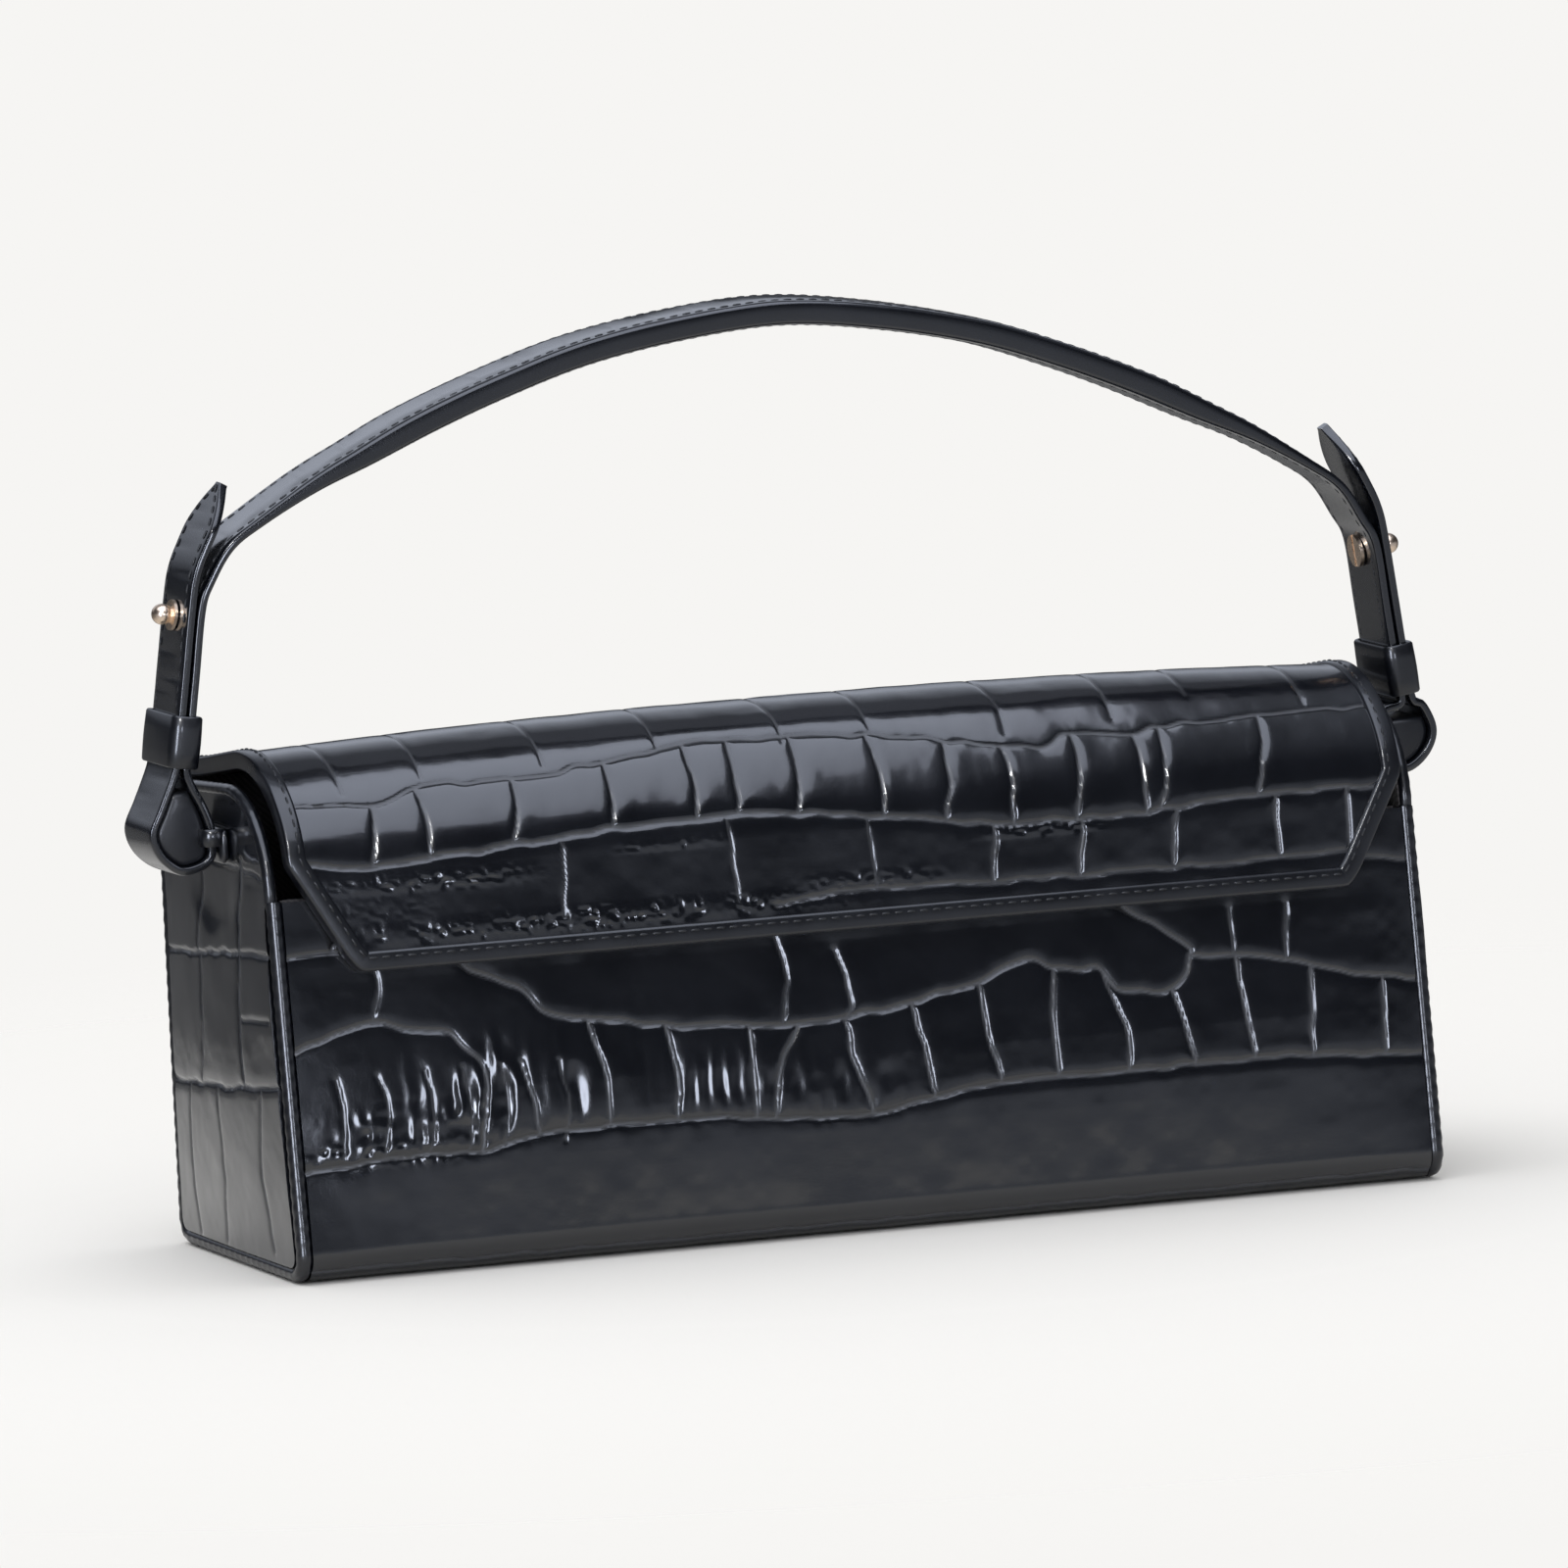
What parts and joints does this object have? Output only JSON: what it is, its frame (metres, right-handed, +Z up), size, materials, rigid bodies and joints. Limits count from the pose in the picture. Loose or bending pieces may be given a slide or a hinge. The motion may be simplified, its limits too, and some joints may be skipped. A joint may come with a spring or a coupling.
{
  "type": "baguette bag",
  "caption": "Slim oblong baguette bag with a boxed case, a wide fold-over flap, tapered gussets and a short arched shoulder strap on folded ends with studs and keepers.",
  "frame": {"origin": "centre of the base's underside, where the bag stands", "axes": "+X along the length to the bag's right as seen from the front, -Y out of the front under the flap, +Z up"},
  "size_m": [0.3166, 0.0874, 0.2095],
  "materials": {
    "leather": "glossy embossed scales",
    "edge_leather": "glossy, smooth",
    "lining_cloth": "woven twill",
    "board": "matt stiffener",
    "steel": "plain",
    "gilt": "polished, pale gold"
  },
  "bodies": {
    "case": {"front_panel": "leather", "back_panel": "leather", "base_panel": "leather", "left_gusset": "leather", "right_gusset": "leather", "left_piping": "edge_leather", "right_piping": "edge_leather", "front_board": "board", "back_board": "board", "base_board": "board", "lining": "lining_cloth", "left_gusset_lining": "lining_cloth", "right_gusset_lining": "lining_cloth", "front_facing": "leather", "slip_pocket": "lining_cloth", "case_magnets": "steel", "flap_back_strip": "leather", "left_anchor_rivet": "steel", "right_anchor_rivet": "steel", "anchor_washers": "steel"},
    "flap": {"flap_leather": "leather", "flap_board": "board", "flap_lining": "lining_cloth", "flap_binding": "edge_leather", "flap_magnets": "steel"},
    "handle": {"strap_outer": "leather", "strap_core": "board", "strap_lining": "leather", "left_strap_end": "leather", "right_strap_end": "leather", "left_stud": "gilt", "right_stud": "gilt", "left_stud_screw": "gilt", "right_stud_screw": "gilt", "left_anchor_loop": "leather", "right_anchor_loop": "leather"},
    "left_keeper": {"left_keeper": "leather"},
    "right_keeper": {"right_keeper": "leather"}
  },
  "joints": [
    {"name": "flap_hinge", "type": "hinge", "parent": "case", "child": "flap", "pos_m": [0, 0.04587, 0.10795], "axis": [-1, 0, 0], "range_deg": [0, 36]},
    {"name": "handle_swing", "type": "hinge", "parent": "case", "child": "handle", "pos_m": [0, 0.007, 0.0945], "axis": [1, 0, 0], "range_deg": [-115, 115]},
    {"name": "left_keeper_slide", "type": "slide", "parent": "handle", "child": "left_keeper", "axis": [0.1392, 0, 0.9903], "range_m": [0, 0.012]},
    {"name": "right_keeper_slide", "type": "slide", "parent": "handle", "child": "right_keeper", "axis": [-0.1392, 0, 0.9903], "range_m": [0, 0.012]}
  ]
}
